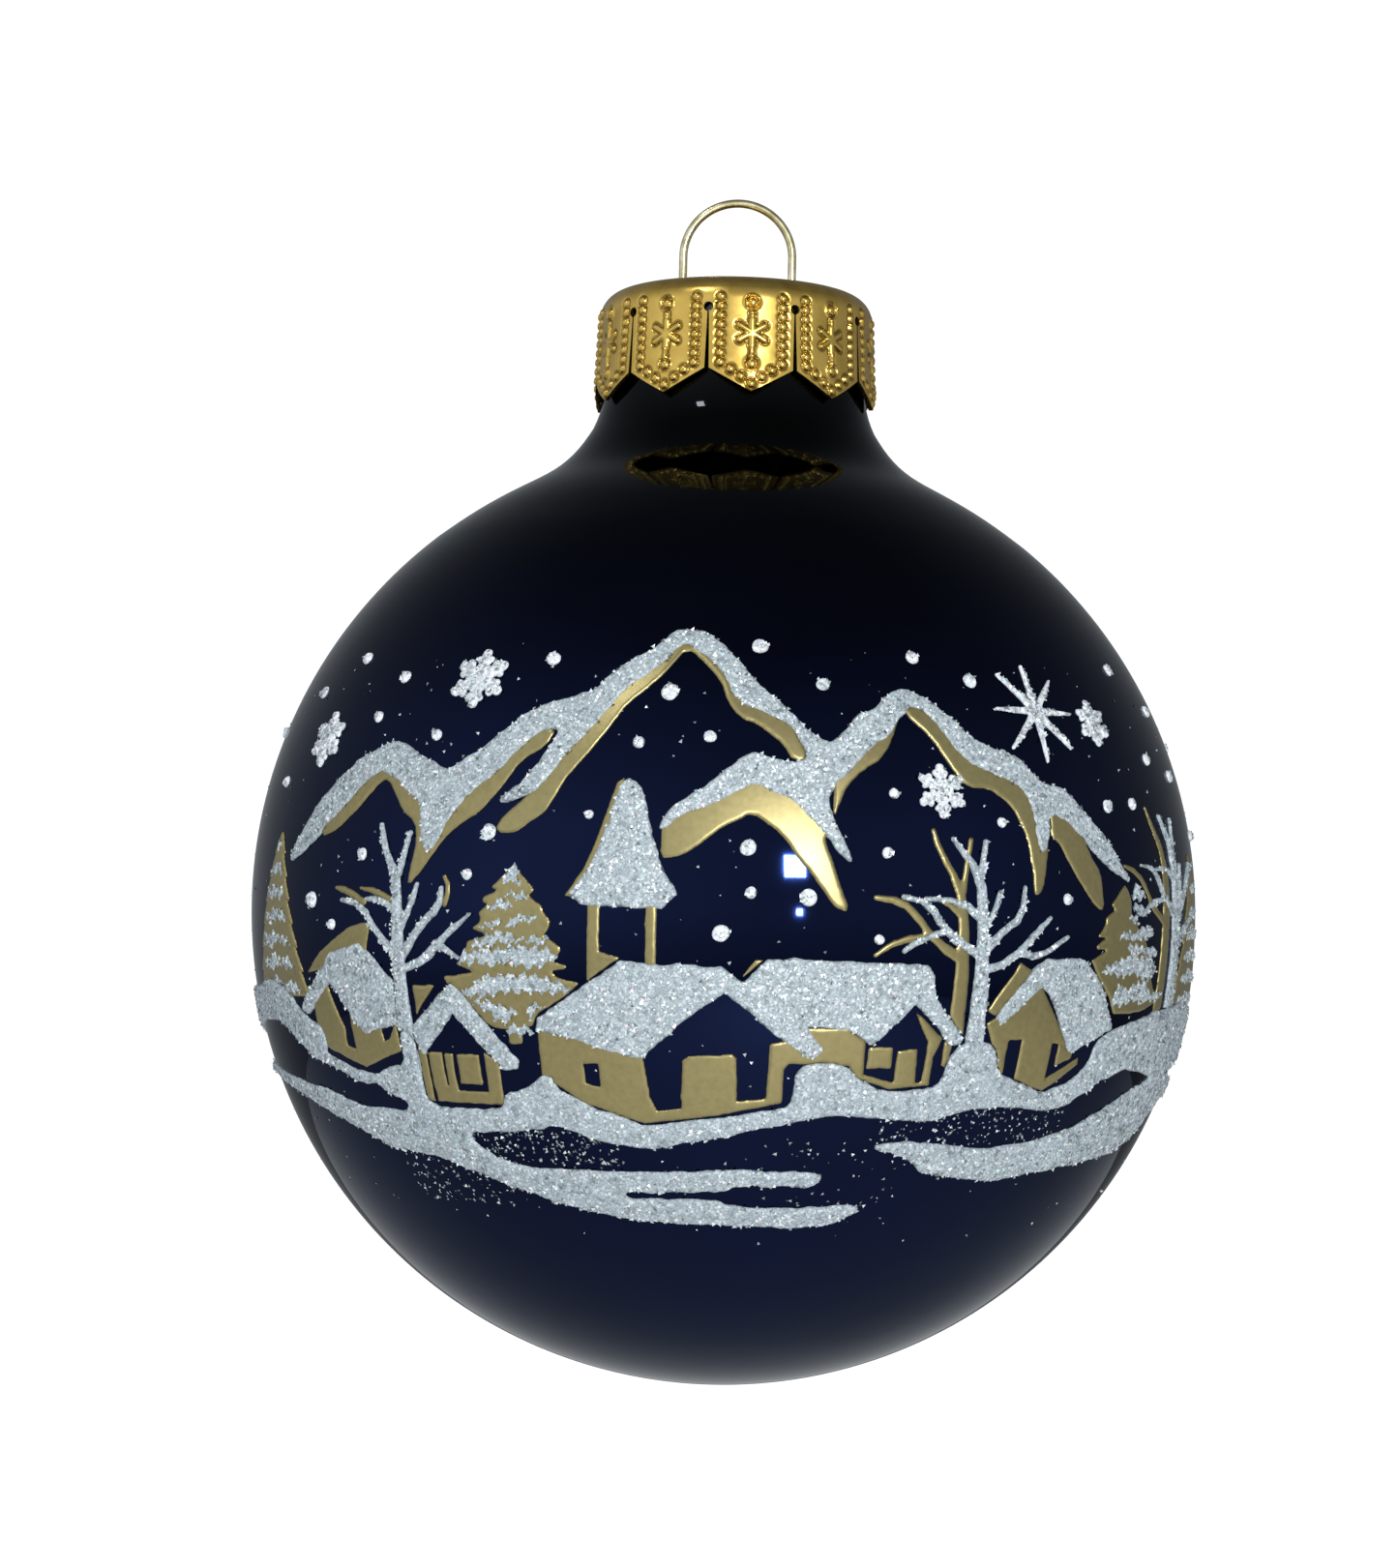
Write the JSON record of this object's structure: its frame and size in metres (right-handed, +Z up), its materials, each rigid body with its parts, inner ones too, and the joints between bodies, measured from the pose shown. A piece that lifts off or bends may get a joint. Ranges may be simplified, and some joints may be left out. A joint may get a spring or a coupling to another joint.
{
  "type": "christmas ball ornament",
  "caption": "Blown glass ball ornament with a printed winter village scene, a pull-off stamped crown cap and a sprung wire hanging loop.",
  "frame": {"origin": "hang point: the inside top of the wire loop, where a hook or thread carries the ornament", "axes": "+Z up through the loop, the ball hangs along -Z; -Y faces the viewer of the printed scene; +X is the scene's right-hand side"},
  "size_m": [0.067, 0.0676, 0.0848],
  "materials": {
    "glass": "clear blown glass",
    "silvering": "mirror",
    "lacquer": "glossy metallic navy lacquer",
    "glitter_snow": "grainy white glitter",
    "gold_paint": "satin gold paint",
    "cap_metal": "bright stamped metal, gold coloured",
    "wire": "bright drawn wire"
  },
  "bodies": {
    "hanger": {"wire_hanger": "wire"},
    "cap": {"crown_cap": "cap_metal"},
    "ball": {"glass_ball": "glass", "silver_lining": "silvering", "blue_lacquer": "lacquer", "mountain_snow": "glitter_snow", "mountain_gold": "gold_paint", "roof_snow": "glitter_snow", "wall_gold": "gold_paint", "pine_snow": "glitter_snow", "pine_gold": "gold_paint", "bare_tree_snow": "glitter_snow", "bare_tree_gold": "gold_paint", "ground_snow": "glitter_snow", "snowflakes": "glitter_snow", "snow_dots": "glitter_snow", "guiding_star": "glitter_snow"}
  },
  "joints": [
    {"name": "cap_lift", "type": "slide", "parent": "hanger", "child": "cap", "axis": [0, 0, 1], "range_m": [0, 0.0023]},
    {"name": "ball_pull", "type": "slide", "parent": "cap", "child": "ball", "axis": [0, 0, -1], "range_m": [0, 0.014]}
  ]
}
